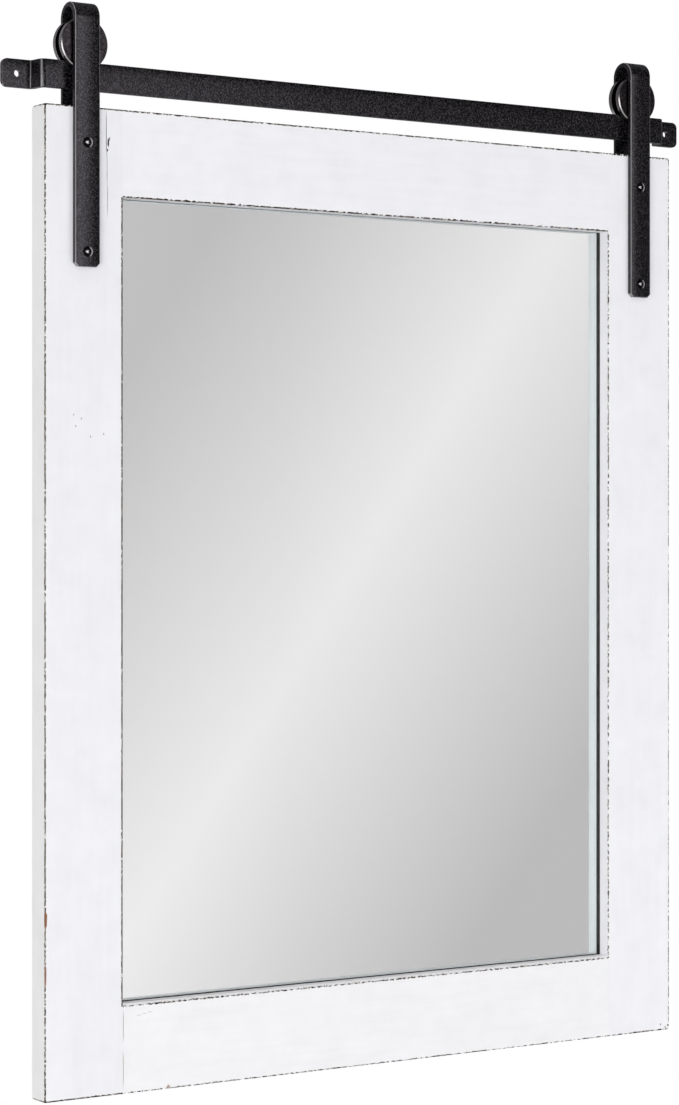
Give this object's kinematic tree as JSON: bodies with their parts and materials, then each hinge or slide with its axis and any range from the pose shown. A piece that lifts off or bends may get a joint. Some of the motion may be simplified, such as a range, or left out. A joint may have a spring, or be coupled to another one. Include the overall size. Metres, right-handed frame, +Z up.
{
  "type": "barn door wall mirror",
  "caption": "Rectangular wall mirror in a distressed white wood frame, hung by black strap hangers whose grooved wheels roll along a flat bar track screwed to the wall.",
  "frame": {"origin": "midway between the two wall holes, on the wall plane at the back of the track's tabs", "axes": "+X to the right along the track, +Y into the wall, +Z up; the mirror faces -Y"},
  "size_m": [0.606, 0.026, 0.7686],
  "materials": {
    "painted_wood": "matt white paint on pine, rubbed through along the edges",
    "dowel_wood": "plain beech",
    "pane_glass": "clear float glass",
    "silver_coat": "silvered with a painted back",
    "hardboard": "brown hardboard",
    "black_steel": "fine textured black powder coat",
    "black_wheel": "turned steel, satin black",
    "black_screw": "black oxide with a waxy shine",
    "zinc_steel": "zinc plated",
    "bushing_nylon": "natural nylon",
    "bumper_rubber": "soft black rubber"
  },
  "bodies": {
    "track": {"track_bar": "black_steel"},
    "mirror_door": {"left_stile": "painted_wood", "right_stile": "painted_wood", "top_rail": "painted_wood", "bottom_rail": "painted_wood", "top_rail_dowels": "dowel_wood", "bottom_rail_dowels": "dowel_wood", "mirror_glass": "pane_glass", "mirror_silvering": "silver_coat", "backing_board": "hardboard", "framing_points": "zinc_steel", "wall_bumpers": "bumper_rubber", "left_hanger_strap": "black_steel", "right_hanger_strap": "black_steel", "left_axle": "black_steel", "right_axle": "black_steel", "left_wheel_washers": "zinc_steel", "right_wheel_washers": "zinc_steel", "left_front_screws": "black_screw", "right_front_screws": "black_screw", "left_back_screw": "black_screw", "right_back_screw": "black_screw"},
    "left_roller": {"left_wheel": "black_wheel", "left_wheel_bushing": "bushing_nylon"},
    "right_roller": {"right_wheel": "black_wheel", "right_wheel_bushing": "bushing_nylon"}
  },
  "joints": [
    {"name": "door_slide", "type": "slide", "parent": "track", "child": "mirror_door", "axis": [1, 0, 0], "range_m": [-0.0125, 0.0125]},
    {"name": "left_wheel_roll", "type": "hinge", "parent": "mirror_door", "child": "left_roller", "pos_m": [-0.2475, -0.01475, 0.0224], "axis": [0, 1, 0], "range_deg": [-60, 60]},
    {"name": "right_wheel_roll", "type": "hinge", "parent": "mirror_door", "child": "right_roller", "pos_m": [0.2475, -0.01475, 0.0224], "axis": [0, 1, 0], "range_deg": [-60, 60]}
  ],
  "couplings": [
    {"joint": "left_wheel_roll", "follows": "door_slide", "rad_per_m": 82.305},
    {"joint": "right_wheel_roll", "follows": "door_slide", "rad_per_m": 82.305}
  ]
}
